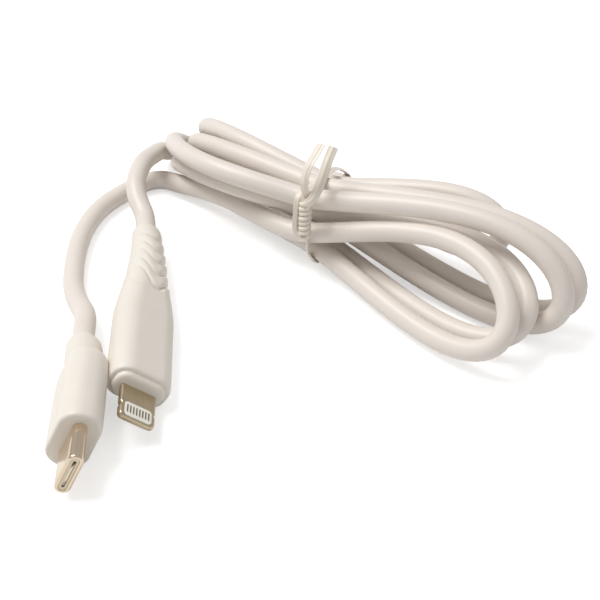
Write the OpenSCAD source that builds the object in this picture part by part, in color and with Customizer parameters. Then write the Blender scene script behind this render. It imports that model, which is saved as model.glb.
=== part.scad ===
// A charging cable, 1 m long, in a hank held by a twist tie. Millimetres; z is up,
// both plugs point along -y and rest on the plane z = 0.

/* [Cord] */
// Outside diameter of the cord
cord_d = 3.8; // [3.4:0.1:4]

/* [Blade plug] */
// Length of the moulded body
blade_body_l = 22.5; // [20.5:0.5:24.5]
// Width of the moulded body
blade_body_w = 10.6; // [10:0.2:11.2]
// Thickness of the moulded body
blade_body_t = 7; // [6.6:0.2:7.6]
// Length of the ribbed strain relief behind the body
blade_relief_l = 20.5; // [18.5:0.5:22.5]
// Length of the metal blade in front of the nose
blade_l = 7.1; // [6.8:0.1:7.6]
// Number of ribs cut in the strain relief
rib_count = 5; // [3:1:6]

/* [Oval plug] */
// Length of the moulded body
oval_body_l = 17.5; // [16:0.5:20]
// Width of the moulded body
oval_body_w = 11.4; // [10.8:0.2:12]
// Thickness of the moulded body
oval_body_t = 6.8; // [6.6:0.2:7.6]
// Length of the small collar behind the body
oval_collar_l = 5.5; // [4:0.5:7]
// Length of the metal shell in front of the body
oval_shell_l = 6.8; // [6.4:0.1:7]

/* [Twist tie] */
// Width of the flat strip
tie_w = 1.8; // [1.6:0.1:2.6]
// Thickness of the flat strip
tie_t = 0.4; // [0.3:0.1:0.6]

/* [Hidden] */
e = 0.01;
fs = 32;
// Places of the two plugs: the middle of each body's front face, and its roll
blade_at = [4.1, -11.85, 4.9];
blade_roll = 36;
oval_at = [-5, -23.75, 5.4];
oval_roll = -64;
// Place and turn of the hank; its own x runs along the strands, y across, z up
hank_at = [36.6, 32.7, 0];
hank_turn = -36.5;

cord_r = cord_d / 2;
hole_r = cord_r;
// Bores in the two bodies, filled by the front ends of the relief and the collar
blade_bore_r = cord_r + 0.7;
oval_bore_r = cord_r + 0.5;
crimp_t = 0.4;
// Nose in front of the blade plug's body: how far it stands out, and its section
nose_l = 1;
nose = [blade_body_w / 2 - 1, blade_body_t / 2 - 1, blade_body_t / 2 - 1.5];
// The metal blade; its window starts behind a narrow lip and has the contacts in it
blade_w = 6.7;
blade_t = 1.5;
lip = 0.3;
win_w = 4.9;
win_l = 3;
win_y = nose_l + blade_l - lip - win_l;
pads = 8;
pad_p = 0.54;
pad_l = 1.7;
pad_y = -win_y - win_l + 0.75;
// Half the thickness and width of the blade's board, and half of its shield, outside
board_h = 0.3;
board_w = 2.4;
can = [3.6, 1.7];
// The oval shell, its contacts, and half the thickness and width of its board
shell_w = 8.34;
shell_t = 2.56;
shell_wall = 0.28;
pins = 12;
pin_p = 0.5;
pin_l = 8.6;
tongue = [3.35, 0.4];
// Sections of the core in the oval body and of the shield in the core
core = [shell_w / 2 + 0.3, oval_body_t / 2 - 0.8, oval_body_t / 2 - 0.9];
shield = [4.1, 1.9, 1.2];
shield_wall = 0.2;
// Grooves of the relief: how far they are askew, and their radius and its step
rib_tilt = 24;
rib_r = 4.6;
rib_step = 0.24;
blade_rear = blade_body_l + blade_relief_l;
oval_rear = oval_body_l + oval_collar_l;

// Cross-sections of the two bodies, from rear to front:
// [distance behind the front face, half width, half thickness, corner radius]
function blade_cuts() = let (a = blade_body_w / 2, b = blade_body_t / 2) [
  [blade_body_l, a - 0.65, b - 0.1, b - 0.5], [blade_body_l - 3, a - 0.25, b, b - 0.5],
  [14, a - 0.1, b, b - 0.5], [3, a, b, b - 0.5],
  [0.8, a - 0.2, b - 0.2, b - 0.5], [0, a - 0.6, b - 0.6, b - 0.9]];
function oval_cuts() = let (a = oval_body_w / 2, b = oval_body_t / 2) [
  [oval_body_l, a - 1.9, b - 0.35, b - 0.45], [oval_body_l - 1.5, a - 0.6, b - 0.2, b - 0.25],
  [10, a - 0.1, b - 0.1, b - 0.15], [3, a, b, b - 0.05],
  [0.8, a - 0.3, b - 0.3, b - 0.35], [0, a - 0.9, b - 0.9, b - 0.95]];

// ---- shared shapes; a plug is drawn pointing along -y from its front face at y = 0
// A rounded oblong from its half width, half thickness and corner radius
module rr(c) {
  hull() for (x = [-1, 1], y = [-1, 1])
    translate([x * (c[0] - c[2]), y * (c[1] - c[2])]) circle(c[2], $fn = fs);
}
function slot_of(w, t) = [w / 2, t / 2, t / 2 - 0.01];
// A bar of the 2-D shape drawn after it, from y0 to y1
module bar(y0, y1) {
  translate([0, y1, 0]) rotate([90, 0, 0]) linear_extrude(y1 - y0) children();
}
module box(x, y0, y1, z0, z1) {
  translate([-x, y0, z0]) cube([2 * x, y1 - y0, z1 - z0]);
}
module loft(cuts) {
  hull() for (c = cuts)
    translate([0, c[0], 0]) rotate([90, 0, 0]) linear_extrude(e, center = true) rr([c[1], c[2], c[3]]);
}
module rod(r, y0, y1) {
  translate([0, y1, 0]) rotate([90, 0, 0]) cylinder(r = r, h = y1 - y0, $fn = 48);
}
module at_blade() {
  translate(blade_at) rotate([0, blade_roll, 0]) children();
}
module at_oval() {
  translate(oval_at) rotate([0, oval_roll, 0]) children();
}

// ---- blade plug
module blade_body() {
  color([0.87, 0.83, 0.76]) at_blade() difference() {
    intersection() {
      loft(blade_cuts());
      box(20, 0, blade_body_l, -20, 20);
    }
    bar(-1, 13) rr(nose);
    rod(blade_bore_r, 12, blade_body_l + 1);
  }
}
// One end of the relief or the collar: the 2-D shape drawn after it, at y
module end(y) {
  translate([0, y, 0]) rotate([-90, 0, 0]) linear_extrude(e) children();
}
module blade_strain_relief() {
  color([0.87, 0.83, 0.76]) at_blade() difference() {
    union() {
      hull() {
        end(blade_body_l) rr([blade_body_w / 2 - 0.75, blade_body_t / 2 - 0.2, blade_body_t / 2 - 0.6]);
        end(blade_rear - 1) circle(cord_r + 1, $fn = fs);
        end(blade_rear - e) circle(cord_r + 0.7, $fn = fs);
      }
      rod(blade_bore_r, 17, blade_body_l + 1);
    }
    rod(hole_r, 10, blade_rear + 1);
    for (i = [0:rib_count - 1])
      translate([0, blade_body_l + 3.2 + i * (blade_relief_l - 4.2) / rib_count, 0])
        rotate([0, -blade_roll, 0]) rotate([0, 0, -rib_tilt]) rotate([90, 0, 0])
          rotate_extrude($fn = 48) translate([rib_r - i * rib_step, 0]) circle(0.8, $fn = 6);
  }
}
module blade_inner_mould() {
  color([0.93, 0.90, 0.84]) at_blade() difference() {
    bar(-nose_l, 13) rr(nose);
    box(blade_w / 2, -2, 5, -blade_t / 2, blade_t / 2);
    box(can[0], 5, 14, -can[1], can[1]);
  }
}
module blade_frame() {
  color([0.62, 0.60, 0.57]) at_blade() difference() {
    bar(-nose_l - blade_l, 5) rr([blade_w / 2, blade_t / 2, blade_t / 2 - 0.05]);
    box(win_w / 2, -win_y - win_l, -win_y, -2, 2);
    box(board_w, -win_y - 1, 6, -board_h, board_h);
    for (x = [-1, 1]) translate([x * (blade_w / 2 + 0.45), -5.3, -2]) cylinder(r = 0.75, h = 4, $fn = 24);
  }
}
module blade_insert() {
  color([0.94, 0.94, 0.92]) at_blade() difference() {
    box(win_w / 2, -win_y - win_l, -win_y, -blade_t / 2, blade_t / 2);
    box(board_w, -win_y - win_l + 0.6, 6, -board_h, board_h);
    for (z = [-1, 1]) blade_pads(z);
  }
}
module blade_pads(z) {
  for (i = [0:pads - 1]) translate([(i - (pads - 1) / 2) * pad_p, 0, 0])
    box(0.14, pad_y, pad_y + pad_l, z > 0 ? board_h : -blade_t / 2 + 0.02,
        z > 0 ? blade_t / 2 - 0.02 : -board_h);
}
module blade_contacts_top() {
  color([0.45, 0.40, 0.34]) at_blade() blade_pads(1);
}
module blade_contacts_bottom() {
  color([0.45, 0.40, 0.34]) at_blade() blade_pads(-1);
}
module blade_board() {
  color([0.13, 0.30, 0.20]) at_blade() box(board_w, -win_y - win_l + 0.6, 11, -board_h, board_h);
}
module blade_chip() {
  color([0.12, 0.12, 0.13]) at_blade() box(1.3, 6, 8.6, board_h, board_h + 0.7);
}
module blade_shield() {
  color([0.70, 0.69, 0.66]) at_blade() difference() {
    box(can[0], 5, 13, -can[1], can[1]);
    box(can[0] - shield_wall, 5.2, 12.8, shield_wall - can[1], can[1] - shield_wall);
    box(board_w, 4, 6, -board_h, board_h);
    rod(1.2, 12, 14);
  }
}
module blade_wires() {
  color([0.75, 0.25, 0.2]) at_blade() for (x = [-0.6, 0, 0.6])
    translate([x, 0, board_h + 0.3]) rod(0.29, 9.4, 14);
}
module blade_crimp() {
  color([0.66, 0.60, 0.48]) at_blade() difference() {
    rod(hole_r + crimp_t, 14, 16.8);
    rod(hole_r, 13, 17);
  }
}
module blade_cord_end() {
  color([0.87, 0.83, 0.76]) at_blade() rod(cord_r, 14, blade_rear);
}

// ---- oval plug
module oval_body() {
  color([0.87, 0.83, 0.76]) at_oval() difference() {
    intersection() {
      loft(oval_cuts());
      box(20, 0, oval_body_l, -20, 20);
    }
    bar(1.2, 13) rr(core);
    bar(-1, 2) rr(slot_of(shell_w, shell_t));
    rod(oval_bore_r, 12, oval_body_l + 1);
  }
}
module oval_collar() {
  color([0.87, 0.83, 0.76]) at_oval() difference() {
    union() {
      hull() {
        end(oval_body_l) circle(cord_r + 1.3, $fn = fs);
        end(oval_rear - 0.7) circle(cord_r + 1, $fn = fs);
        end(oval_rear - e) circle(cord_r + 0.6, $fn = fs);
      }
      rod(oval_bore_r, 14, oval_body_l + 1);
    }
    rod(hole_r, 10, oval_rear + 1);
  }
}
module oval_inner_mould() {
  color([0.93, 0.90, 0.84]) at_oval() difference() {
    bar(1.2, 13) rr(core);
    bar(0, 3) rr(slot_of(shell_w, shell_t));
    bar(3, 14) rr(shield);
  }
}
module oval_bore() {
  bar(-20, 4) rr(slot_of(shell_w - 2 * shell_wall, shell_t - 2 * shell_wall));
}
module oval_shell() {
  color([0.68, 0.62, 0.52]) at_oval() difference() {
    bar(-oval_shell_l, 3) rr(slot_of(shell_w, shell_t));
    oval_bore();
  }
}
module oval_insulator() {
  color([0.16, 0.15, 0.14]) at_oval() difference() {
    intersection() {
      box(8, -oval_shell_l + 0.2, 3, -3, 3);
      oval_bore();
    }
    box(tongue[0], -oval_shell_l - 1, -1.2, -tongue[1], tongue[1]);
    for (z = [-1, 1]) oval_pins(z);
    for (x = [-1, 1]) oval_arm(x);
    box(tongue[0], -1.4, 4, -tongue[1], tongue[1]);
  }
}
module oval_pins(z) {
  for (i = [0:pins - 1]) translate([(i - (pins - 1) / 2) * pin_p, 0, 0])
    box(0.125, -5.6, pin_l - 5.6, z > 0 ? tongue[1] : -tongue[1] - 0.25,
        z > 0 ? tongue[1] + 0.25 : -tongue[1]);
}
module oval_contacts_upper() {
  color([0.80, 0.66, 0.35]) at_oval() oval_pins(1);
}
module oval_contacts_lower() {
  color([0.80, 0.66, 0.35]) at_oval() oval_pins(-1);
}
module oval_arm(x) {
  translate([x > 0 ? tongue[0] : -tongue[0] - 0.25, -5.4, -tongue[1]]) cube([0.25, 7.4, 2 * tongue[1]]);
}
module oval_latch_left() {
  color([0.70, 0.69, 0.66]) at_oval() oval_arm(-1);
}
module oval_latch_right() {
  color([0.70, 0.69, 0.66]) at_oval() oval_arm(1);
}
module oval_board() {
  color([0.13, 0.30, 0.20]) at_oval() box(3.3, -0.6, 11, -tongue[1], tongue[1]);
}
module oval_chip() {
  color([0.12, 0.12, 0.13]) at_oval() box(1.5, 5.4, 8.4, tongue[1], tongue[1] + 0.7);
}
module oval_rear_shield() {
  color([0.70, 0.69, 0.66]) at_oval() difference() {
    bar(3, 13) rr(shield);
    bar(3.2, 12.8) rr(shield - shield_wall * [1, 1, 1]);
    box(3.3, 2, 4, -tongue[1] - 0.25, tongue[1] + 0.25);
    rod(1.2, 12, 14);
  }
}
module oval_wires() {
  color([0.2, 0.3, 0.6]) at_oval() for (x = [-0.6, 0, 0.6])
    translate([x, 0, tongue[1] + 0.3]) rod(0.29, 9.2, 14);
}
module oval_crimp() {
  color([0.66, 0.60, 0.48]) at_oval() difference() {
    rod(hole_r + crimp_t, 13.05, 13.95);
    rod(hole_r, 13, 17);
  }
}
module oval_cord_end() {
  color([0.87, 0.83, 0.76]) at_oval() rod(cord_r, 14, oval_rear);
}

// ---- cord
function unit(v) = v / norm(v);
function turned(p, a) = [p[0] * cos(a) - p[1] * sin(a), p[0] * sin(a) + p[1] * cos(a), p[2]];
function on_hank(p) = hank_at + turned(p, hank_turn);

// Places of the ten strands where they pass the tie: [across, up]
slots = [[-8.3, 8.2], [-5, 4.5], [-3.5, 10.5], [-0.5, 2.5], [-6, 14.5], [0, 7.5], [-0.5, 14],
         [4.5, 6.5], [4.5, 11.5], [11, 8]];
// Each bend from one strand to the next, turn about to the right and to the left:
// [reach, sway across, sway up, lean across, lean up, skew]
bends = [
  [45, -6.5, 4.8, 7, 4.8, -3.5], [35, 6, -1, 6, -2.5, 6.5], [46, -5, 1.9, 7.7, 2.2, -2.5],
  [37.5, 6.5, 1.5, 7, -2, 6], [50.5, 0, 0, 3.5, 6, -2.5], [33.5, 6, -1.5, 1.5, -1, -1],
  [51, 0.4, -1, 3.5, 4.8, -1.5], [36, 7.8, 0.6, 3.3, -2.3, 3], [34, 0.8, 1, 3, 3.8, -0.5]];
steps = 24;
lead_in = 4;
// Largest value of sin^1.2 * cos, which the lean is measured by
peak = 0.474;
function bend(k, t) = let (
    a = slots[k], b = slots[k + 1], v = bends[k], side = k % 2 == 0 ? 1 : -1,
    h = pow(max(0, sin(t)), 1.2), g = h * cos(t) / peak, m = (1 - cos(t)) / 2)
  [side * (v[0] * sin(t) + v[5] * g),
   a[0] + (b[0] - a[0]) * m + v[1] * h + v[3] * g,
   a[1] + (b[1] - a[1]) * m + v[2] * h + v[4] * g];
function hank_path() = concat(
  [[-lead_in, slots[0][0], slots[0][1]]],
  [for (k = [0:len(bends) - 1], i = [0:steps - 1]) bend(k, i * 180 / steps)],
  [bend(len(bends) - 1, 180)],
  [[-lead_in, slots[9][0], slots[9][1]]]);

// A tube of n flat sides along points p; up is the direction that the rings are set by
function dir(p, i) = unit(p[min(i + 1, len(p) - 1)] - p[max(i - 1, 0)]);
function tube_points(p, r, n, up) = [for (i = [0:len(p) - 1], j = [0:n - 1]) let (
    d = dir(p, i), x = unit(cross(up, d)), y = cross(d, x), a = (j + 0.5) * 360 / n)
  p[i] + r * (cos(a) * x + sin(a) * y)];
function tube_faces(m, n) = concat(
  [[for (j = [0:n - 1]) j]],
  [for (i = [0:m - 2], j = [0:n - 1], h = [0, 1]) let (
      a = i * n + j, b = i * n + (j + 1) % n, c = a + n, d = b + n)
    h == 0 ? [a, d, b] : [a, c, d]],
  [[for (j = [n - 1:-1:0]) (m - 1) * n + j]]);
module tube(p, r, n, up) {
  polyhedron(tube_points(p, r, n, up), tube_faces(len(p), n), convexity = 10);
}
// Points between two route points, on a smooth curve through all of them
function knot(p, i) = p[max(0, min(len(p) - 1, i))];
function between(p, i, t) = let (
    a = knot(p, i - 1), b = knot(p, i), c = knot(p, i + 1), d = knot(p, i + 2))
  0.5 * (2 * b + (c - a) * t + (2 * a - 5 * b + 4 * c - d) * t * t
    + (3 * b - a - 3 * c + d) * t * t * t);
function smooth(p, s) = concat(
  [for (i = [0:len(p) - 2], j = [0:s - 1]) between(p, i, j / s)], [p[len(p) - 1]]);

// Route of each free stretch, from its plug to the hank; its first and last few
// millimetres run straight, square to what they meet
oval_out = oval_at + [0, oval_rear, 0];
oval_points = [
  [-6.2, 8.5, 4], [-7.9, 13.5, 2.7], [-9.5, 19, 2], [-10, 25, 2], [-10, 31, 2], [-9.5, 36.5, 2],
  [-8, 42.5, 2], [-5.5, 47.5, 2], [-1.5, 52, 2], [2.5, 55.5, 2], [5.5, 56, 2], [8.5, 54, 2.2],
  [11.5, 50.5, 3.4], [15.3, 46.2, 4.8], [19.4, 41.7, 5.6], [23, 37.2, 6.2]];
blade_out = blade_at + [0, blade_rear, 0];
blade_points = [
  [2.9, 37, 5.8], [1.5, 40.5, 7.2], [1, 44, 8.4], [1.5, 48, 9], [2.5, 52, 9], [4, 56, 8],
  [5, 60, 6.5], [5.5, 63.5, 4.5], [6.5, 66, 2.8], [9, 69, 2.1], [13, 71, 2], [18.5, 70, 2],
  [24, 66, 2], [28.5, 59.5, 2.2], [33, 52.5, 4]];
function route(out, points, slot) = let (
    near = on_hank([-lead_in - cord_d, slot[0], slot[1]]),
    end = on_hank([-lead_in, slot[0], slot[1]]))
  concat([out], smooth(concat([out + [0, cord_d, 0]], points, [near]), 2), [end]);
oval_route = route(oval_out, oval_points, slots[0]);
blade_route = route(blade_out, blade_points, slots[9]);

module cord_lead_oval() {
  color([0.87, 0.83, 0.76]) tube(oval_route, cord_r, 8, [0, 0, 1]);
}
module cord_lead_blade() {
  color([0.87, 0.83, 0.76]) tube(blade_route, cord_r, 8, [0, 0, 1]);
}
module cord_hank() {
  color([0.87, 0.83, 0.76]) translate(hank_at) rotate([0, 0, hank_turn])
    tube(hank_path(), cord_r, 6, [0, 1, 0]);
}

// Least gap between two stretches of the hank that are not neighbours, and its length
hp = hank_path();
function far_gap(p, i) = min([for (j = [i + 8:len(p) - 1]) norm(p[i] - p[j])]);
echo(least_gap = min([for (i = [0:len(hp) - 9]) far_gap(hp, i)]) - cord_d);
echo(lowest = min([for (p = hp) p[2]]) - cord_r);
function run(p) = [for (i = [0:len(p) - 2]) norm(p[i + 1] - p[i])];
function sum(v, i = 0) = i >= len(v) ? 0 : v[i] + sum(v, i + 1);
echo(lengths = [sum(run(hp)), sum(run(oval_route)), sum(run(blade_route))]);

// ---- twist tie
// Its ring stands a little askew across the strands and never dips below the plane z = 0; the
// twist and the two ends are in front
tie_turn = 11;
tie_shift = 1;
tie_gap = 0.3;
tie_front = -11.5;
module tie_hole(g) {
  hull() for (k = [0:8], t = [0, 4, 176, 180]) {
    p = bend(k, t);
    translate([p[1] / cos(tie_turn), max(p[2], cord_r + tie_t + tie_gap)])
      circle(cord_r + g, $fn = 24);
  }
}
// A flat strip along points p, w wide across the direction side and t thick
module strip(p, w, t, side) {
  pts = [for (i = [0:len(p) - 1], c = [[-1, -1], [1, -1], [1, 1], [-1, 1]]) let (
      d = dir(p, i), y = unit(cross(d, side)), x = cross(y, d))
    p[i] + x * c[0] * w / 2 + y * c[1] * t / 2];
  polyhedron(pts, tube_faces(len(p), 4), convexity = 6);
}
module twist_tie() {
  color([0.90, 0.87, 0.80]) translate(hank_at) rotate([0, 0, hank_turn])
    translate([tie_shift, 0, 0]) rotate([0, 0, tie_turn]) {
      translate([-tie_w / 2, 0, 0]) rotate([90, 0, 90]) linear_extrude(tie_w) difference() {
        tie_hole(tie_t + tie_gap);
        tie_hole(tie_gap);
      }
      translate([0, tie_front, 9.3]) linear_extrude(7.7, twist = -1080, slices = 48)
        square([tie_w, tie_t * 3], center = true);
      strip(smooth([[0, tie_front, 16.5], [-0.6, tie_front, 19.5], [-0.6, -10.4, 22.5],
        [0, -7.6, 24.6], [1, -5.4, 26.4]], 2), tie_w, tie_t, [1, 0.2, 0]);
      strip(smooth([[0, tie_front + 0.4, 16.2], [0.4, -8.6, 17.8], [0.8, -5, 19.2],
        [0.8, -2.4, 21.2], [0.6, -1, 24]], 2), tie_w, tie_t, [1, 0.2, 0]);
    }
}

blade_body();
blade_strain_relief();
blade_inner_mould();
blade_frame();
blade_insert();
blade_contacts_top();
blade_contacts_bottom();
blade_board();
blade_chip();
blade_shield();
blade_wires();
blade_crimp();
blade_cord_end();
oval_body();
oval_collar();
oval_inner_mould();
oval_shell();
oval_insulator();
oval_contacts_upper();
oval_contacts_lower();
oval_latch_left();
oval_latch_right();
oval_board();
oval_chip();
oval_rear_shield();
oval_wires();
oval_crimp();
oval_cord_end();
cord_lead_blade();
cord_hank();
cord_lead_oval();
twist_tie();
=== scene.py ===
"""A charging cable in a hank with a twist tie, a flat blade plug and an oval plug."""
import math

import bpy
import numpy as np
from mathutils import Matrix


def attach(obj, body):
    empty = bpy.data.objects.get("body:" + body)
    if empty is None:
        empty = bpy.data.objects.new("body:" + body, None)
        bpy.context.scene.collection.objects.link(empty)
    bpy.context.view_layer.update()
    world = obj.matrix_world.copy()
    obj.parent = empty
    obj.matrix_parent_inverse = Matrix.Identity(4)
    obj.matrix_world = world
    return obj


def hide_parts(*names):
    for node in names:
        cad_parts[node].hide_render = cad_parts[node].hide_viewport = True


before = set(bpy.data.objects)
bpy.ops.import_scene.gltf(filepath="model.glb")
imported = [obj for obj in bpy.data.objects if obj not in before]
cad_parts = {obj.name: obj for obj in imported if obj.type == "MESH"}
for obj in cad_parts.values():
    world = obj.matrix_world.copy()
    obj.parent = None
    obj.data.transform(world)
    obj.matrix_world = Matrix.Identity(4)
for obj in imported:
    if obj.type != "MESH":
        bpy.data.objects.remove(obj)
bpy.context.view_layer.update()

MM = 0.001

# ---- sizes and places, in millimetres, the same as in the CAD source
CORD_D = 3.8
BLADE_AT = (4.1, -11.85, 4.9)
BLADE_ROLL = math.radians(36)
OVAL_AT = (-5.0, -23.75, 5.4)
OVAL_ROLL = math.radians(-64)
BLADE_REAR = 43
OVAL_REAR = 23
HANK_AT = (36.6, 32.7, 0.0)
HANK_TURN = math.radians(-36.5)
# How far from the tie each lead joins the hank, and how far it starts inside its plug and runs
# straight on behind it
LEAD_IN = 4.0
LEAD_START = 4.0
LEAD_STRAIGHT = 1.5
# Spacing of the points along the cord, and the number round its section and the tie's
CORD_STEP = 1.0
SECTION_POINTS = 28

# Places of the ten strands at the tie: across, up
SLOTS = [(-8.3, 8.2), (-5, 4.5), (-3.5, 10.5), (-0.5, 2.5), (-6, 14.5), (0, 7.5), (-0.5, 14),
         (4.5, 6.5), (4.5, 11.5), (11, 8)]
# Bends between them: reach, sway across, sway up, lean across, lean up, skew
BENDS = [(45, -6.5, 4.8, 7, 4.8, -3.5), (35, 6, -1, 6, -2.5, 6.5), (46, -5, 1.9, 7.7, 2.2, -2.5),
         (37.5, 6.5, 1.5, 7, -2, 6), (50.5, 0, 0, 3.5, 6, -2.5), (33.5, 6, -1.5, 1.5, -1, -1),
         (51, 0.4, -1, 3.5, 4.8, -1.5), (36, 7.8, 0.6, 3.3, -2.3, 3), (34, 0.8, 1, 3, 3.8, -0.5)]
# About the largest value of the lean's own curve, so that a lean is a real distance
LEAN_PEAK = 0.474
SWAY_POWER = 1.2
# How the back of each plug follows its cord: start, length, sideways, up
BLADE_BEND = (31.0, 12.0, -0.65, 0.3)
OVAL_BEND = (16.0, 7.0, -0.5, -0.1)
# The leads' points behind the plugs, up to the hank
OVAL_POINTS = [
    (-6.2, 8.5, 4), (-7.9, 13.5, 2.7), (-9.5, 19, 2), (-10, 25, 2), (-10, 31, 2), (-9.5, 36.5, 2),
    (-8, 42.5, 2), (-5.5, 47.5, 2), (-1.5, 52, 2), (2.5, 55.5, 2), (5.5, 56, 2), (8.5, 54, 2.2),
    (11.5, 50.5, 3.4), (15.3, 46.2, 4.8), (19.4, 41.7, 5.6), (23, 37.2, 6.2)]
BLADE_POINTS = [
    (2.9, 37, 5.8), (1.5, 40.5, 7.2), (1, 44, 8.4), (1.5, 48, 9), (2.5, 52, 9), (4, 56, 8),
    (5, 60, 6.5), (5.5, 63.5, 4.5), (6.5, 66, 2.8), (9, 69, 2.1), (13, 71, 2), (18.5, 70, 2),
    (24, 66, 2), (28.5, 59.5, 2.2), (33, 52.5, 4)]


# ---- curves and places
def unit(v):
    """Each row divided by its own length."""
    return v / np.linalg.norm(v, axis=-1, keepdims=True)


def full_turn(n):
    """n angles evenly spaced round a full turn."""
    return np.linspace(0, 2 * math.pi, n + 1)[:-1]


def on_hank(p):
    """Hank points (along, across, up) turned about z and moved to the hank's place."""
    p = np.atleast_2d(np.asarray(p, float))
    c, s = math.cos(HANK_TURN), math.sin(HANK_TURN)
    return np.stack([p[:, 0] * c - p[:, 1] * s, p[:, 0] * s + p[:, 1] * c, p[:, 2]], 1) + HANK_AT


def at_plug(p, at, roll):
    """Plug points rolled about the plug's own long axis, y, and moved to the plug's place."""
    p = np.asarray(p, float)
    c, s = math.cos(roll), math.sin(roll)
    x, y, z = p[..., 0], p[..., 1], p[..., 2]
    return np.stack([x * c + z * s, y, z * c - x * s], -1) + at


def through(points, spacing):
    """A smooth curve through the points: cubic pieces whose slope at each point runs from the
    point before it to the point after it, then points evenly spaced along the whole curve."""
    p = np.asarray(points, float)
    q = np.vstack([2 * p[0] - p[1], p, 2 * p[-1] - p[-2]])
    t = np.linspace(0, 1, 24, endpoint=False)[None, :, None]
    a, b, c, d = (q[i:len(q) - 3 + i, None] for i in range(4))
    body = 0.5 * (2 * b + (c - a) * t + (2 * a - 5 * b + 4 * c - d) * t ** 2
                  + (3 * b - a - 3 * c + d) * t ** 3)
    return evenly(np.vstack([body.reshape(-1, p.shape[1]), p[-1:]]), spacing)


def evenly(p, spacing):
    """The same line, with its points a fixed distance apart; extra columns go along."""
    s = np.concatenate([[0], np.cumsum(np.linalg.norm(np.diff(p[:, :3], axis=0), axis=1))])
    t = np.linspace(0, s[-1], max(2, int(round(s[-1] / spacing)) + 1))
    return np.stack([np.interp(t, s, p[:, k]) for k in range(p.shape[1])], 1)


def eased(p, passes):
    """Each inner point moved to the weighted middle of itself and its neighbours, many times."""
    p = p.copy()
    for _ in range(passes):
        p[1:-1] = 0.25 * p[:-2] + 0.5 * p[1:-1] + 0.25 * p[2:]
    return p


def hank_line():
    """The hank's line: each bend is half a turn of an ellipse between two strands. It sways by
    sin^1.2 of the turn and leans by that times the cosine, and bends go right and left in turn."""
    turn = np.linspace(0, math.pi, 97)[:-1]
    h = np.sin(turn) ** SWAY_POWER
    g = h * np.cos(turn) / LEAN_PEAK
    m = (1 - np.cos(turn)) / 2
    line = []
    for k, (reach, dc, dz, oc, oz, skew) in enumerate(BENDS):
        side = 1 if k % 2 == 0 else -1
        (c0, z0), (c1, z1) = SLOTS[k], SLOTS[k + 1]
        line.append(np.stack([side * (reach * np.sin(turn) + skew * g),
                              c0 + (c1 - c0) * m + dc * h + oc * g,
                              z0 + (z1 - z0) * m + dz * h + oz * g], 1))
    return on_hank(np.vstack(line + [[(0, *SLOTS[9])]]))


def cord_line():
    """The whole free cord, from inside the blade plug's relief to inside the oval plug's collar."""
    def lead(at, out, bend, points, slot):
        start = np.array([(0, out + back, 0) for back in (-LEAD_START, 0, LEAD_STRAIGHT)], float)
        return through([*(bent(start, *bend) + at), *points, on_hank((-LEAD_IN, *slot))[0]],
                       CORD_STEP)
    blade = lead(BLADE_AT, BLADE_REAR, BLADE_BEND, BLADE_POINTS, SLOTS[9])
    oval = lead(OVAL_AT, OVAL_REAR, OVAL_BEND, OVAL_POINTS, SLOTS[0])
    return eased(evenly(np.vstack([blade, hank_line()[::-1], oval[::-1]]), CORD_STEP), 3)


# ---- meshes
def mesh_piece(name, verts, faces, material, sharp=None):
    """A mesh piece in metres, from points in millimetres, that rides on the cable's own body."""
    mesh = bpy.data.meshes.new(name)
    metres = np.asarray(verts, float) * MM
    mesh.from_pydata(metres.tolist(), [], [list(map(int, f)) for f in faces])
    mesh.validate()
    mesh.polygons.foreach_set("use_smooth", [True] * len(mesh.polygons))
    if sharp is not None:
        mesh.set_sharp_from_angle(angle=math.radians(sharp))
    mesh.materials.append(material)
    piece = bpy.data.objects.new(name, mesh)
    bpy.context.scene.collection.objects.link(piece)
    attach(piece, "root")
    return piece


def skin(rings):
    """Points and faces of a closed skin over rings of equally many points, one after another.
    Each end is closed by a fan round the middle of its ring."""
    n, m = rings.shape[:2]
    i = np.arange(n - 1)[:, None] * m
    j = np.arange(m)[None]
    k = (j + 1) % m
    quads = np.stack([i + j, i + k, i + m + k, i + m + j], -1).reshape(-1, 4)
    verts = np.vstack([rings.reshape(-1, 3), rings[0].mean(0), rings[-1].mean(0)])
    j, k = j[0], k[0]
    last = (n - 1) * m
    front = np.stack([k, j, np.full(m, n * m)], 1)
    rear = np.stack([last + j, last + k, np.full(m, n * m + 1)], 1)
    return verts, quads.tolist() + front.tolist() + rear.tolist()


def swept(line, profile, side):
    """A profile carried along a line: its x follows the side direction, squared to the line."""
    ahead = unit(np.gradient(line, axis=0))
    y = unit(np.cross(ahead, side))
    x = np.cross(y, ahead)
    return line[:, None] + profile[..., 0:1] * x[:, None] + profile[..., 1:2] * y[:, None]


def rounded(a, b, r, n=96):
    """Rounded rectangles of half sizes a and b and corner radius r, one a row, as n points evenly
    spaced in turn: each quarter is half a side, a corner's arc and half the next side."""
    a, b, r = (v if np.ndim(v) == 2 else np.atleast_1d(np.asarray(v, float))[:, None]
               for v in (a, b, r))
    t = np.arange(n) / n * 4
    quarter = t.astype(int)
    odd = quarter % 2 == 1
    ex, ey = np.where(odd, b, a), np.where(odd, a, b)
    arc = r * math.pi / 2
    d = (t - quarter) * (ex + ey - 2 * r + arc)
    turn = np.clip((d - (ey - r)) / arc, 0, 1) * math.pi / 2
    u = ex - r + r * np.cos(turn) - np.clip(d - (ey - r) - arc, 0, None)
    v = np.minimum(d, ey - r) + r * np.sin(turn)
    c, s = np.array([1, 0, -1, 0])[quarter], np.array([0, 1, 0, -1])[quarter]
    return np.stack([u * c - v * s, u * s + v * c], -1)


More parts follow.
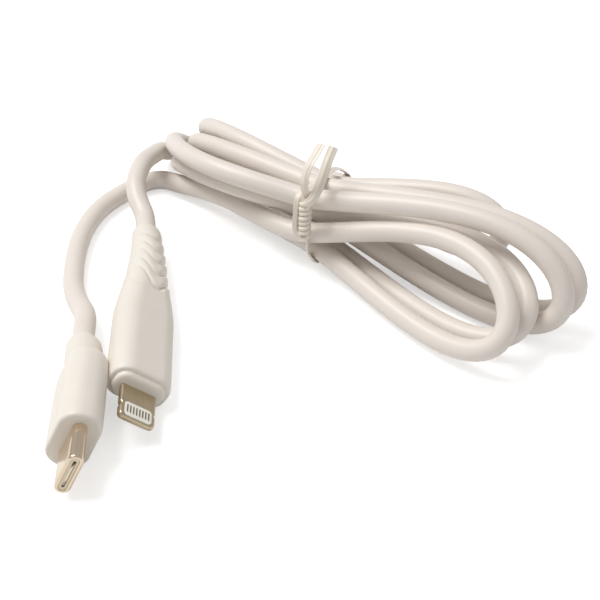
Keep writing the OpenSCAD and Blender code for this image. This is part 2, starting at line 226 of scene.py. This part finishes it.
def lofted(stations, spacing, n=96, shift=None, along=None):
    """Rings of a plug piece through stations (distance back, half width, half thickness, corner
    radius), smooth between them, as (x, back, z) points. With a shift, each point also slides
    back by it, and its section changes as the stations in along do on the way."""
    rows = through(stations, spacing)
    back, sizes = rows[:, :1], rows[:, 1:]
    ring = rounded(*sizes.T, n)
    if shift is not None:
        slid = back + shift(np.stack([ring[..., 0], back + 0 * ring[..., 0], ring[..., 1]], -1))
        table = through(along, 0.5)
        sizes = [sizes[:, k:k + 1] + np.interp(slid, table[:, 0], table[:, k + 1])
                 - np.interp(back, table[:, 0], table[:, k + 1]) for k in range(3)]
        back = slid
        ring = rounded(*sizes, n)
    return np.stack([ring[..., 0], np.broadcast_to(back, ring.shape[:2]), ring[..., 1]], -1)


def ramp(x, low, high):
    """0 below low, 1 above high and a soft step between."""
    t = np.clip((x - low) / (high - low), 0, 1)
    return t * t * (3 - 2 * t)


def around(rings, roll):
    """Each point's direction about the plug's long axis in degrees, 0 up and 90 to the right."""
    turn = np.degrees(np.arctan2(rings[..., 0], rings[..., 2]) + roll)
    return (turn + 180) % 360 - 180


def bent(points, start, length, dx, dz):
    """Points moved by dx and dz times the square of how far they are past start, over length."""
    t = np.clip((points[..., 1] - start) / length, 0, None) ** 2
    return points + np.stack([dx * t, 0 * t, dz * t], -1)


# ---- finishes
# Depth of the plastic's grain and of the metal's streaks, in metres, and the streaks' scale
GRAIN_DEPTH = 0.00001
STREAK_DEPTH = 0.000004
STREAKS = (3000, 160, 3000)
# The insulator is pale where it is further forward than this, in millimetres
# Deeper in than this, the insulator's dark colour is painted shade inside its slot
MOUTH_PALE = 6.72


class Wire:
    """A shader socket that takes Python's operators, each of which adds a Math node."""

    def __init__(self, paint, socket):
        self.paint, self.socket = paint, socket

    def _math(self, op, *args):
        return self.paint.node("ShaderNodeMath", {"operation": op}, dict(enumerate(args)))[0]

    def __add__(self, other):
        return self._math("ADD", self, other)

    def __radd__(self, other):
        return self._math("ADD", other, self)

    def __sub__(self, other):
        return self._math("SUBTRACT", self, other)

    def __rsub__(self, other):
        return self._math("SUBTRACT", other, self)

    def __mul__(self, other):
        return self._math("MULTIPLY", self, other)

    def __rmul__(self, other):
        return self._math("MULTIPLY", other, self)


class Paint:
    def __init__(self, name):
        self.material = bpy.data.materials.new(name)
        self.material.use_nodes = True
        self.tree = self.material.node_tree
        self.surface = self.tree.nodes["Principled BSDF"]

    def node(self, kind, settings=None, inputs=None):
        """A node of a kind, its settings first and then its inputs; returns its outputs."""
        made = self.tree.nodes.new(kind)
        for key, value in (settings or {}).items():
            setattr(made, key, value)
        for key, value in (inputs or {}).items():
            self.put(made.inputs[key], value)
        return [Wire(self, s) for s in made.outputs]

    def put(self, socket, value):
        """A link to the socket from a wire, or a plain value in it."""
        if isinstance(value, Wire):
            self.tree.links.new(value.socket, socket)
        else:
            socket.default_value = value

    def place(self):
        """The point in the object's own coordinates."""
        return self.node("ShaderNodeTexCoord")[3]

    def noise(self, scale, detail=2.0, rough=0.5):
        """Noise from 0 to 1 whose blobs are about 1/scale metres."""
        return self.node("ShaderNodeTexNoise", None, {
            "Vector": self.place(), "Scale": scale, "Detail": detail, "Roughness": rough})[0]

    def blend(self, amount, low, high):
        """Colour low where amount is 0 and high where it is 1."""
        low, high = ((*c, 1) if isinstance(c, tuple) and len(c) == 3 else c for c in (low, high))
        return self.node("ShaderNodeMix", {"data_type": "RGBA"}, {0: amount, 6: low, 7: high})[2]

    def finish(self, **sockets):
        """Sets the surface's sockets by name, with bump=(height, depth in metres) for relief."""
        height, depth = sockets.pop("bump", (None, 0))
        for name, value in sockets.items():
            self.put(self.surface.inputs[name.replace("_", " ")], value)
        if height is not None:
            normal = self.node("ShaderNodeBump", None, {
                "Strength": 1.0, "Distance": depth, "Height": height})[0]
            self.put(self.surface.inputs["Normal"], normal)
        return self.material


def linear(r, g, b):
    """A colour written in the usual 0 to 255 steps, as the linear values that shaders take."""
    return tuple((v / 255 / 12.92) if v / 255 <= 0.04045 else ((v / 255 + 0.055) / 1.055) ** 2.4
                 for v in (r, g, b))


def moulded(name, light, dark, rough):
    """Soft moulded plastic: a faint mottle of two shades and a fine matt grain."""
    p = Paint(name)
    cloud = p.noise(160, 3)
    fine = p.noise(5200, 2, 0.6)
    return p.finish(Base_Color=p.blend(cloud, linear(*dark), linear(*light)),
                    Roughness=rough + (cloud - 0.5) * 0.10,
                    bump=(fine, GRAIN_DEPTH))


def mouth_lining(face, inside):
    """The oval plug's insulator: pale on its front face, with painted shade further in, by its own
    y.
    """
    p = Paint("oval_liner_painted_shade")
    y = p.node("ShaderNodeSeparateXYZ", None, {0: p.place()})[1]
    # deep grows into the slot, where the colour turns to the painted shade
    deep = (y - (OVAL_AT[1] - MOUTH_PALE) * MM) * 9000 + (p.noise(1500) - 0.5) * 0.2
    return p.finish(Base_Color=p.blend(deep, linear(*face), linear(*inside)), Roughness=0.4)


def satin_metal(name, light, dark, rough):
    """Satin metal: fine streaks along y and a slow change of shade."""
    p = Paint(name)
    stretched = p.node("ShaderNodeVectorMath", {"operation": "MULTIPLY"},
                       {0: p.place(), 1: STREAKS})[0]
    streak = p.node("ShaderNodeTexNoise", None,
                    {"Vector": stretched, "Scale": 1.0, "Detail": 3.0})[0]
    return p.finish(Base_Color=p.blend(streak, linear(*dark), linear(*light)),
                    Metallic=1.0, Roughness=rough + (streak - 0.5) * 0.12,
                    bump=(streak, STREAK_DEPTH))


# ---- stage
ROOM_STRENGTH = 0.46
FLOOR_LIFT = (0.5, 0.5, 0.5)
KEY_AT, KEY_AIM = (-0.35, 0.15, 0.75), (0.02, 0.02, 0)
KEY_SIZE, KEY_POWER = 0.5, 5.3


def camera():
    """The camera, 38 degrees down on the cable from in front."""
    cam = bpy.data.cameras.new("camera")
    cam.lens = 67.44
    cam.sensor_width = 36
    cam.clip_start, cam.clip_end = 0.01, 10
    holder = bpy.data.objects.new("camera", cam)
    holder.location = (0.02187, -0.14645, 0.127)
    holder.rotation_euler = (math.radians(52), 0, math.radians(-3.5))
    bpy.context.scene.collection.objects.link(holder)
    bpy.context.scene.camera = holder


def lamp(name, place, aim, size, power):
    """A square soft lamp at a place, in metres, turned to a point."""
    light = bpy.data.lights.new(name, "AREA")
    light.size, light.energy = size, power
    holder = bpy.data.objects.new(name, light)
    back = unit(np.array(place, float) - np.array(aim, float))
    side = unit(np.cross((0, 0, 1), back))
    up = np.cross(back, side)
    turn = Matrix(np.stack([side, up, back], 1).tolist()).to_4x4()
    holder.matrix_world = Matrix.Translation(place) @ turn
    bpy.context.scene.collection.objects.link(holder)


def stage():
    """A pale floor that keeps its shadows, lifted a little where the camera looks at it, and a
    soft white room with a broad lamp above and behind at the left."""
    p = Paint("studio_floor")
    seen = p.node("ShaderNodeLightPath")[0]
    p.finish(Base_Color=(0.9, 0.9, 0.9, 1), Roughness=0.9, Specular_IOR_Level=0.1,
             Emission_Color=p.blend(seen, (0.0, 0.0, 0.0), FLOOR_LIFT), Emission_Strength=1.0)
    mesh = bpy.data.meshes.new("studio_floor")
    mesh.from_pydata([(-3, -3, 0), (3, -3, 0), (3, 3, 0), (-3, 3, 0)], [], [(0, 1, 2, 3)])
    mesh.materials.append(p.material)
    floor = bpy.data.objects.new("studio_floor", mesh)
    bpy.context.scene.collection.objects.link(floor)
    world = bpy.data.worlds.new("studio")
    world.use_nodes = True
    room = world.node_tree.nodes["Background"]
    room.inputs["Color"].default_value = (1, 1, 1, 1)
    room.inputs["Strength"].default_value = ROOM_STRENGTH
    bpy.context.scene.world = world
    bpy.context.scene.view_settings.view_transform = "Standard"
    lamp("key_light", KEY_AT, KEY_AIM, KEY_SIZE, KEY_POWER)


# ---- pieces
def cord():
    """One round cord 3.8 mm thick, swept along the whole free line."""
    line = cord_line()
    turn = full_turn(SECTION_POINTS)
    profile = CORD_D / 2 * np.stack([np.cos(turn), np.sin(turn)], -1)[None]
    across = on_hank((0, 1, 0))[0] - on_hank((0, 0, 0))[0]
    ahead = unit(np.gradient(line, axis=0))
    side = np.broadcast_to(across, line.shape).copy()
    for i in range(1, len(side)):
        side[i] = unit(side[i - 1] - ahead[i] * np.dot(side[i - 1], ahead[i]))
    piece = mesh_piece("cord", *skin(swept(line, profile, side)), JACKET)
    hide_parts("cord_lead_blade", "cord_hank", "cord_lead_oval")
    return piece, line * MM, np.linalg.norm(np.diff(line, axis=0), axis=1).sum() * MM


def standing_for(nodes, name, rings, material, place, sharp=50):
    """A closed skin of rings in a plug's own frame, put in its place for CAD nodes."""
    piece = mesh_piece(name, *skin(place(rings)), material, sharp)
    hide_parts(*nodes)
    return piece


def on_blade(p):
    """Points in the blade plug's own frame, put in its place."""
    return at_plug(bent_world(p, BLADE_BEND, BLADE_ROLL), BLADE_AT, BLADE_ROLL)


def on_oval(p):
    """Points in the oval plug's own frame, put in its place."""
    return at_plug(bent_world(p, OVAL_BEND, OVAL_ROLL), OVAL_AT, OVAL_ROLL)


def bent_world(p, bend, roll):
    """Plug points bent by world directions, given back in the plug's own frame."""
    upright = at_plug(p, (0, 0, 0), roll)
    return at_plug(bent(upright, *bend), (0, 0, 0), -roll)


# ---- blade plug
# Sections of its pieces: distance back from its front face, half width, half thickness, radius
BLADE_SIDES = [(2, 5.32, 3.5, 3.0), (6, 5.32, 3.5, 3.0), (12, 5.3, 3.5, 3.0), (17, 5.28, 3.5, 3.0),
               (20, 5.02, 3.48, 3.02), (22.6, 4.66, 3.44, 3.03), (26, 4.2, 3.36, 3.0),
               (29, 3.78, 3.28, 3.0), (32, 3.58, 3.22, 3.0), (35, 3.3, 3.12, 2.95),
               (38.3, 3.06, 2.98, 2.92), (41, 2.86, 2.82, 2.78)]
BLADE_FRONT = [(1.0, 4.1, 2.3, 1.9), (0.1, 4.3, 2.5, 2.0), (0.0, 4.42, 2.62, 2.1),
               (0.0, 4.7, 2.9, 2.4), (0.04, 4.98, 3.17, 2.7), (0.25, 5.17, 3.35, 2.88),
               (0.8, 5.29, 3.46, 2.97)]
RELIEF_END = [(42.4, 2.72, 2.7, 2.68), (43.1, 2.48, 2.47, 2.46), (43.5, 2.12, 2.12, 2.11),
              (43.5, 1.85, 1.85, 1.84)]
NOSE = [(1.0, 4.1, 2.3, 1.8), (0.2, 4.42, 2.62, 2.05), (-0.3, 4.4, 2.6, 2.05),
        (-0.65, 4.3, 2.5, 1.95), (-0.88, 4.08, 2.28, 1.8), (-1.0, 3.7, 1.9, 1.55),
        (-1.04, 3.2, 1.45, 1.3)]
# Each groove of the relief: its place at the left, and how far it sweeps forward to the right
GROOVES = [(28.4, 5.6), (31.2, 4.1), (34.2, 3.5), (36.9, 2.6), (39.6, 1.6)]
GROOVE_SHIFT, GROOVE_FRONT, GROOVE_REAR = 0.4, 0.42, 0.95
# The metal blade: its ends, half width and half thickness, and the notch for a catch in each
# side: place, half length, depth
BLADE_ROOT, BLADE_TIP = 4, -7.95
BLADE_HALF_W, BLADE_HALF_T = 3.15, 0.66
CATCH_AT, CATCH_HALF, CATCH_DEPTH = -5.3, 0.36, 0.2
# How its tip narrows and thins: where that starts, over what length and by how much
TIP_NARROWS = (-7.1, 0.9, 0.75)
TIP_THINS = (-7.3, 0.7, 0.5)
# The insert and its bars: middle, half width, half length and corner radius; the bars' number,
# spacing and how far they stand out
INSERT_AT, INSERT_HALF_W, INSERT_HALF_L, INSERT_R = -6.24, 2.42, 1.48, 0.6
BAR_AT, BAR_HALF_W, BAR_HALF_L, BAR_R = -6.2, 0.13, 0.86, 0.1
BARS, BAR_PITCH, BAR_PROUD = 8, 0.54, 0.012
# The seam between body and relief: its place, how far it slides back at the plug's left, the
# turn from straight up where it slides most, and where the slide starts and dies out
SEAM, SEAM_SLIDE, SEAM_TURN = 22.6, 4.5, -95
SLIDE_FROM, SLIDE_TO = 14, 32


def seam_slide(points):
    """How far back each point slides: most at the seam, on the plug's left side."""
    left = ramp(np.cos(np.radians(around(points, BLADE_ROLL) - SEAM_TURN)), 0.1, 0.9)
    back = points[..., 1]
    return SEAM_SLIDE * left * ramp(back, SLIDE_FROM, SEAM) * (1 - ramp(back, SEAM, SLIDE_TO))


def blade_mouldings():
    """The blade plug's body, its relief and its stepped nose. Each groove of the relief is a
    bell curve along the plug, steep in front and slow behind, that takes away from the radius;
    its place sweeps forward and its depth grows from the left over the top to the right."""
    body = [*BLADE_FRONT, *BLADE_SIDES[:6], (22.75, 4.5, 3.28, 2.95), (22.7, 4.2, 3.0, 2.8)]
    standing_for(["blade_body"], "blade_plug_body",
                 lofted(body, 0.25, 128, seam_slide, BLADE_SIDES)[::-1], MOULDING, on_blade, None)

    relief = [(22.0, 4.3, 3.1, 2.9), (22.7, 4.58, 3.36, 3.0), *BLADE_SIDES[6:], *RELIEF_END]
    relief = lofted(relief, 0.14, 144, seam_slide, BLADE_SIDES)
    turn = around(relief, BLADE_ROLL)
    # Both follow the turn in degrees: they grow from the left to the right and die out below
    sweep = ramp(turn, -24, 42) * (1 - 0.6 * ramp(turn, 50, 95)) * (1 - ramp(turn, 120, 178))
    depth = (0.2 * ramp(turn, -62, -40) + 0.5 * ramp(turn, -14, 55)) * (1 - ramp(turn, 130, 178))
    cut = 0
    for place, forward in GROOVES:
        off = relief[..., 1] - (place + GROOVE_SHIFT - forward * sweep)
        cut = cut + np.exp(-(np.abs(off) / np.where(off > 0, GROOVE_REAR, GROOVE_FRONT)) ** 2)
    out = np.linalg.norm(relief[..., ::2], axis=-1, keepdims=True)
    relief[..., ::2] *= 1 - (depth * cut)[..., None] / out
    standing_for(["blade_strain_relief"], "blade_plug_relief", relief, MOULDING,
                 on_blade, None)
    standing_for(["blade_inner_mould"], "blade_plug_nose", lofted(NOSE, 0.1),
                 MOULDING, on_blade, None)


def tip_loss(y, start, length, most):
    """What the blade's tip has lost at y: nothing before start, and from there on what a quarter
    of an ellipse lacks, up to the most."""
    return most * (1 - np.sqrt(np.clip(1 - ((start - y) / length).clip(0) ** 2, 0, 1)))


def metal_blade():
    """The blade: a rounded flat bar with a rounded tip and a shallow notch in each side."""
    y = np.linspace(BLADE_ROOT, BLADE_TIP, 180)
    notch = CATCH_DEPTH * np.exp(-((y - CATCH_AT) / CATCH_HALF) ** 4)
    half = BLADE_HALF_W - tip_loss(y, *TIP_NARROWS) - notch
    thick = BLADE_HALF_T - tip_loss(y, *TIP_THINS)
    ring = rounded(half, thick, np.minimum(0.4, thick - 0.02), 80)
    blade = np.stack([ring[..., 0], np.broadcast_to(y[:, None], ring.shape[:2]), ring[..., 1]], -1)
    standing_for(["blade_frame"], "blade_plug_blade", blade, STEEL, on_blade)


def blade_face():
    """The white insert that fills the blade's window, and a row of eight bars on each of its
    faces. Both are rounded rectangles raised through a few levels, the outermost a little less."""
    levels = np.array([-0.69, -0.68, -0.65, 0.65, 0.68, 0.69])
    grow = np.array([-0.06, 0.0, 0.0, 0.0, 0.0, -0.06])
    plate = rounded(INSERT_HALF_W + grow, INSERT_HALF_L + grow, INSERT_R + grow, 48)
    insert = np.stack([plate[..., 0], plate[..., 1] + INSERT_AT,
                       np.broadcast_to(levels[:, None], plate.shape[:2])], -1)[:, ::-1]
    standing_for(["blade_insert"], "blade_plug_insert", insert, WHITE, on_blade)
    levels, grow = levels[3:], grow[3:]
    bar = rounded(BAR_HALF_W + grow * 0.4, BAR_HALF_L + grow, BAR_R, 20)
    for side, node in ((1, "blade_contacts_top"), (-1, "blade_contacts_bottom")):
        height = np.broadcast_to(side * (levels[:, None] + BAR_PROUD), bar.shape[:2])
        verts, faces = [], []
        for i in range(BARS):
            across = bar[..., 0] + (i - (BARS - 1) / 2) * BAR_PITCH
            rings = np.stack([across, bar[..., 1] + BAR_AT, height], -1)
            v, f = skin(rings[:, ::-1] if side > 0 else rings)
            faces += [[n + len(verts) * len(v) for n in face] for face in f]
            verts.append(on_blade(v))
        name = node.replace("blade_", "blade_plug_")
        piece = mesh_piece(name, np.vstack(verts), faces, CONTACT, 40)
        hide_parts(node)


# ---- oval plug
# Sections of the body, the collar and the shell, back from the body's front face
OVAL_BODY = [(17.9, 2.9, 2.6, 2.5), (17.6, 3.6, 2.75, 2.7), (17.1, 4.4, 2.95, 2.9),
             (16.3, 5.1, 3.15, 3.0), (15, 5.7, 3.3, 3.1), (12.5, 5.95, 3.38, 3.18),
             (4, 5.92, 3.47, 3.2), (0.8, 5.87, 3.48, 3.2), (0.2, 5.74, 3.4, 3.12),
             (0.0, 5.52, 3.18, 2.95), (-0.04, 5.2, 2.9, 2.7), (-0.02, 4.25, 1.4, 1.39)]
COLLAR = [(15.5, 3.1, 3.1, 3.09), (17.5, 3.2, 3.2, 3.19), (19.5, 3.14, 3.14, 3.13),
          (21, 3.06, 3.06, 3.05), (22.3, 2.9, 2.9, 2.89), (23.0, 2.55, 2.55, 2.54),
          (23.3, 2.1, 2.1, 2.09), (23.2, 1.85, 1.85, 1.84)]
SHELL_RINGS = [(2, 4.17, 1.24, 1.23), (-5.0, 4.17, 1.24, 1.23), (-6.5, 4.17, 1.24, 1.23),
               (-6.8, 4.1, 1.17, 1.16), (-6.92, 3.96, 1.03, 1.02), (-6.9, 3.75, 0.8, 0.79),
               (-6.84, 3.62, 0.66, 0.65), (-6.6, 3.58, 0.62, 0.61), (-6.4, 3.56, 0.6, 0.59)]

# The insulator's rings, from its outside over its front face into its slot: back, half width
# and half thickness
INSULATOR_RINGS = [(-2.8, 3.6, 0.64), (-6.7, 3.6, 0.64), (-6.76, 3.55, 0.6), (-6.76, 3.0, 0.27),
                   (-6.7, 2.95, 0.22), (-3.0, 2.95, 0.22)]


def oval_plug():
    """The oval plug: body, collar, deep-drawn shell with a rolled rim, and slotted insulator."""
    standing_for(["oval_body"], "oval_plug_body", lofted(OVAL_BODY, 0.3),
                 MOULDING, on_oval, None)
    standing_for(["oval_collar"], "oval_plug_collar", lofted(COLLAR, 0.3),
                 MOULDING, on_oval, None)
    standing_for(["oval_shell"], "oval_plug_shell", lofted(SHELL_RINGS, 0.06),
                 SHELL, on_oval, None)
    back, wide, thin = np.array(INSULATOR_RINGS).T
    ring = rounded(wide, thin, thin - 0.01, 64)
    face = np.stack([ring[..., 0], np.broadcast_to(back[:, None], ring.shape[:2]), ring[..., 1]], -1)
    standing_for(["oval_insulator"], "oval_plug_insulator", face, LINER, on_oval, 40)


# ---- twist tie
# One flat strip, in the hank's own frame (along, across, up). Each row is a place, the direction
# of the strip's width there, and its width
LEFT_END = [(3.4, -5.2, 26.4, 1, 0, 0.1, 1.75), (3.4, -7.8, 25, 1, 0, 0.1, 1.75),
            (3.4, -9.4, 24, 1, 0.1, 0.2, 1.7), (3.45, -10.6, 22.4, 0.9, 0.2, 0.3, 1.6),
            (3.5, -10.9, 20.8, 0.7, 0.2, 0.6, 1.5), (3.6, -10.6, 19, 0.3, -0.1, 0.9, 1.3)]
RIGHT_END = [(4.5, -11.8, 18, -0.3, 0.1, 0.95, 1.3), (5.1, -11, 18.4, -0.65, 0.1, 0.75, 1.6),
             (5.1, -9.4, 19.2, -0.85, -0.1, 0.5, 1.8), (4.6, -7.1, 20.2, -0.9, -0.2, 0.4, 1.9),
             (4.1, -5.1, 21.3, -0.9, -0.2, 0.38, 1.9), (3.8, -3.3, 22.6, -0.9, -0.25, 0.33, 1.85),
             (3.7, -1.5, 24.1, -0.9, -0.28, 0.3, 1.85)]
LEG = [(4.3, -11.4, 10.3, -0.1, 0.3, 0.9, 1.2), (3.6, -11.5, 9.9, 0, 0.5, 0.85, 1.4),
       (2.9, -11.4, 10.2, 0.3, 0.8, 0.5, 1.45), (2.2, -11.5, 11.2, 0.6, 0.8, 0, 1.4),
       (2, -11.4, 12.6, 0.6, 0.8, 0, 1.4), (2, -11.2, 14.2, 0.6, 0.8, 0, 1.4),
       (2, -10.9, 16, 0.6, 0.8, 0, 1.5), (2, -10.1, 17.5, 0.8, 0.5, 0.1, 1.6)]
RING = [(2, -8.6, 17.9, 1, 0, 0, 1.75), (1.9, -6, 17.5, 1, -0.2, 0, 1.75),
        (1.4, -2, 16.8, 1, -0.2, 0, 1.75), (0.8, 1, 16.4, 1, -0.2, 0, 1.75),
        (0.2, 3.8, 15.6, 1, -0.2, 0, 1.75), (-0.4, 7.2, 13.8, 1, -0.2, 0, 1.75),
        (-1.2, 11.2, 10.7, 1, -0.2, 0, 1.75), (-1.8, 13.4, 8.4, 1, -0.2, 0, 1.75),
        (-1.8, 13.4, 6.4, 1, -0.2, 0, 1.75), (-1.4, 11.4, 4.4, 1, -0.2, 0, 1.75),
        (-0.6, 7.5, 2.8, 1, -0.2, 0, 1.75), (0.2, 4, 1.6, 1, -0.2, 0, 1.75),
        (0.8, 1.5, 0.6, 1, -0.2, 0, 1.75), (1.2, -0.8, 0.35, 1, -0.2, 0, 1.75),
        (1.9, -3.6, 0.5, 1, -0.2, 0, 1.75), (2.8, -6, 1.2, 1, -0.2, 0, 1.7),
        (3.3, -8.2, 3.6, 0.9, -0.4, 0, 1.6), (3.6, -9.9, 6.2, 0.6, -0.6, 0, 1.5),
        (3.8, -10.5, 8.8, 0.2, -0.5, 0.6, 1.2)]

# The twist's axis from top to foot, the radius of its winding and the strip's width there
TWIST_TOP, TWIST_FOOT = (3.7, -10.8, 17.4), (3.7, -10.95, 10.8)
TWIST_TURNS, TWIST_R, TWIST_WIDTH = 3.25, 0.95, 0.88


def helix(first, turns, down):
    """The strip wound clockwise down the twist, from an angle in degrees; its lower edge stands
    out, and its radius and width swell a little in waves. Rows are as in the lists above."""
    t = np.linspace(0, 1, int(turns * 18) + 1)
    a = np.radians(first - 360 * turns * t)
    out = np.stack([np.cos(a), np.sin(a), 0 * a], 1)
    axis = np.array(TWIST_TOP) + (np.array(TWIST_FOOT) - TWIST_TOP) * t[:, None]
    width = np.array([0, 0, 1]) * 0.94 - out * 0.34
    swell = 1 + 0.08 * np.sin(23 * t + first)[:, None]
    rows = np.hstack([axis + TWIST_R * swell * out, width, TWIST_WIDTH * swell])
    return rows if down else rows[::-1]


def twist_tie():
    """The whole tie as one ribbon: left end, down the twist, up the leg, round the hank, up the
    twist and out to the right end. Its section is a thin flat strip with a wire's ridge: a
    flattened oval plus a narrow bell curve at its middle, on both faces."""
    rows = np.vstack([LEFT_END, helix(90, TWIST_TURNS, True), LEG, RING,
                      helix(-90, TWIST_TURNS, False), RIGHT_END])
    rows = eased(through(rows, 0.2), 3)
    line = on_hank(rows[:, :3])
    side = unit(on_hank(rows[:, 3:6]) - HANK_AT)
    t = full_turn(SECTION_POINTS)
    x = np.cos(t)
    thick = 0.12 * np.abs(np.sin(t)) ** 0.5 + 0.17 * np.exp(-(x / 0.3) ** 2)
    half = x[None] * rows[:, 6:] / 2
    profile = np.stack([half, np.broadcast_to(np.sign(np.sin(t)) * thick, half.shape)], -1)
    piece = mesh_piece("tie", *skin(swept(line, profile, side)), TIE, 60)
    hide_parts("twist_tie")


def finish_cad_nodes():
    """Each CAD node that stays in view gets its own finish."""
    finishes = {
        # The oval plug's contacts take a dark colour that is painted shade inside its slot
        "oval_inner_mould": MOULDING, "oval_contacts_upper": PAINTED_SHADE_CONTACT, "oval_contacts_lower": PAINTED_SHADE_CONTACT,
        "blade_crimp": GOLD, "oval_crimp": GOLD, "blade_shield": STEEL, "oval_rear_shield": STEEL,
        "oval_latch_left": STEEL, "oval_latch_right": STEEL, "blade_chip": BLACK,
        "oval_chip": BLACK, "blade_board": BOARD, "oval_board": BOARD, "blade_wires": RED,
        "oval_wires": BLUE, "blade_cord_end": JACKET, "oval_cord_end": JACKET}
    for name, material in finishes.items():
        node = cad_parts[name]
        node.data.materials.clear()
        node.data.materials.append(material)


JACKET = moulded("cord_jacket", (233, 225, 216), (227, 218, 209), 0.38)
MOULDING = moulded("plug_moulding", (237, 230, 220), (231, 223, 212), 0.42)
TIE = moulded("tie_strip", (240, 232, 219), (232, 222, 207), 0.32)
WHITE = moulded("white_insert", (246, 243, 232), (240, 236, 224), 0.30)
# The insulator: a pale face, and a dark colour further in that is painted shade of its slot
LINER = mouth_lining((236, 222, 196), (60, 48, 38))
BLACK = moulded("black_plastic", (46, 42, 38), (34, 31, 28), 0.45)
BOARD = moulded("circuit_board", (38, 96, 62), (28, 78, 48), 0.40)
RED = moulded("wire_red", (188, 44, 38), (166, 34, 30), 0.45)
BLUE = moulded("wire_blue", (44, 78, 160), (34, 62, 140), 0.45)
STEEL = satin_metal("blade_steel", (214, 198, 170), (196, 180, 152), 0.34)
SHELL = satin_metal("oval_shell_metal", (240, 222, 197), (224, 203, 177), 0.16)
CONTACT = satin_metal("contact_dark", (165, 150, 128), (142, 127, 106), 0.45)
# Contacts inside the oval plug's slot: dark brown as painted shade, not their own metal colour
PAINTED_SHADE_CONTACT = satin_metal("contact_painted_shade", (92, 76, 60), (72, 58, 45), 0.5)
GOLD = satin_metal("contact_gold", (230, 200, 140), (210, 176, 112), 0.30)

camera()
cord_piece, cord_path, cord_length = cord()
blade_mouldings()
metal_blade()
blade_face()
oval_plug()
twist_tie()
stage()
finish_cad_nodes()
